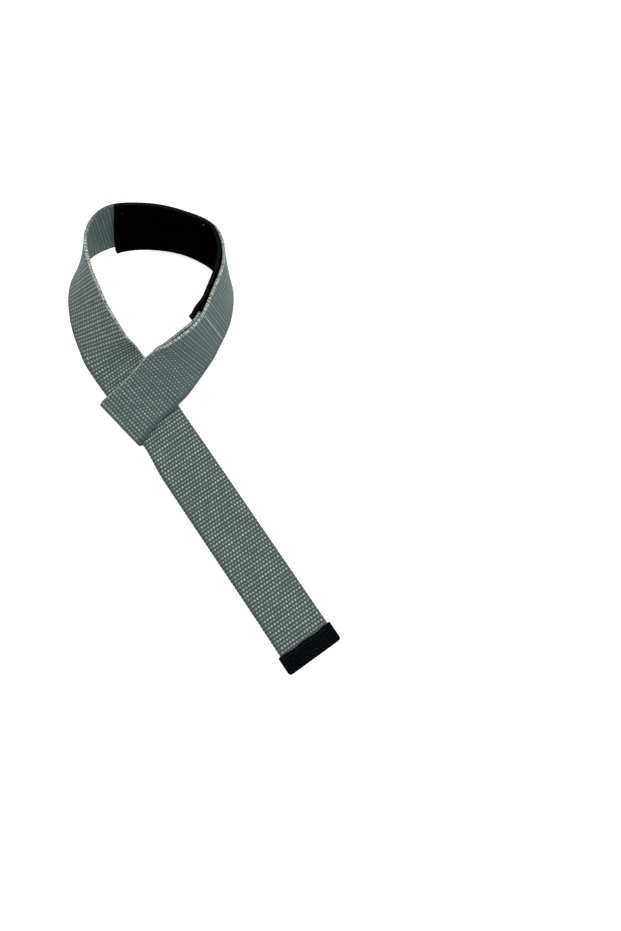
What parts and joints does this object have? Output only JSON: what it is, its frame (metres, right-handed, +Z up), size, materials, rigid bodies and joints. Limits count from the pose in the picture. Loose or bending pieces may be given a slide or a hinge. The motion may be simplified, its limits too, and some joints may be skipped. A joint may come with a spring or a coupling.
{
  "type": "lifting strap",
  "caption": "Padded wrist strap for lifting: heavy webbing sewn into an eye, its tail threaded through to form a wrist loop.",
  "frame": {"origin": "middle of the strap's footprint on the surface that it lies on", "axes": "+Z up from that surface, +Y from the bound tip towards the far side of the wrist loop, +X towards the side that the tail leaves the loop on"},
  "size_m": [0.1864, 0.3088, 0.0528],
  "materials": {
    "webbing": "matt woven webbing, grey-green with pale selvedges",
    "pad": "matt black knit laminated on foam rubber",
    "binding": "matt black ribbed binding tape"
  },
  "bodies": {
    "root": {"webbing": "webbing", "wrist_pad": "pad", "tip_binding": "binding"}
  },
  "joints": []
}
